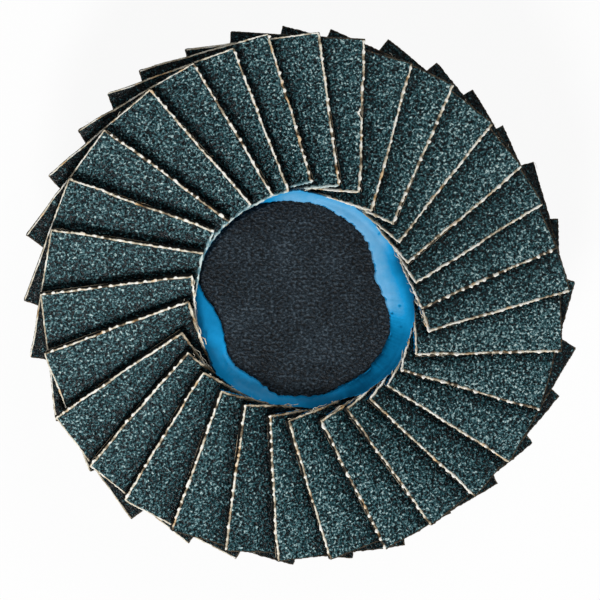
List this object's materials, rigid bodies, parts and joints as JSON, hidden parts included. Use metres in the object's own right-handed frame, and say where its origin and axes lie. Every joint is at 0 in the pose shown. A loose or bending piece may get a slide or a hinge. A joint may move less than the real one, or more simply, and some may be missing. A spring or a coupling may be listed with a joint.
{
  "type": "flap disc",
  "caption": "Small quick-change flap disc with a closed centre: overlapping abrasive cloth flaps bedded in blue epoxy on a moulded plate with a threaded stud.",
  "frame": {"origin": "the middle of the threaded stud's flat end, on the turning axis", "axes": "+Z along the turning axis, out of the working face of the flaps; +Y and +X in the plane of the disc, +Y to the top of the picture, flaps laid clockwise seen from +Z"},
  "size_m": [0.0513, 0.0501, 0.0165],
  "materials": {
    "plate": "black glass-filled nylon, leather-grained centre",
    "epoxy": "blue cast epoxy, glossy where it flowed",
    "abrasive_cloth": "dark teal abrasive grain on cream polycotton cloth, frayed cut edges"
  },
  "bodies": {
    "root": {"backing_plate": "plate", "adhesive": "epoxy", "flap_01": "abrasive_cloth", "flap_02": "abrasive_cloth", "flap_03": "abrasive_cloth", "flap_04": "abrasive_cloth", "flap_05": "abrasive_cloth", "flap_06": "abrasive_cloth", "flap_07": "abrasive_cloth", "flap_08": "abrasive_cloth", "flap_09": "abrasive_cloth", "flap_10": "abrasive_cloth", "flap_11": "abrasive_cloth", "flap_12": "abrasive_cloth", "flap_13": "abrasive_cloth", "flap_14": "abrasive_cloth", "flap_15": "abrasive_cloth", "flap_16": "abrasive_cloth", "flap_17": "abrasive_cloth", "flap_18": "abrasive_cloth", "flap_19": "abrasive_cloth", "flap_20": "abrasive_cloth", "flap_21": "abrasive_cloth", "flap_22": "abrasive_cloth", "flap_23": "abrasive_cloth", "flap_24": "abrasive_cloth", "flap_25": "abrasive_cloth", "flap_26": "abrasive_cloth", "flap_27": "abrasive_cloth", "flap_28": "abrasive_cloth", "flap_29": "abrasive_cloth", "flap_30": "abrasive_cloth", "flap_31": "abrasive_cloth"}
  },
  "joints": []
}
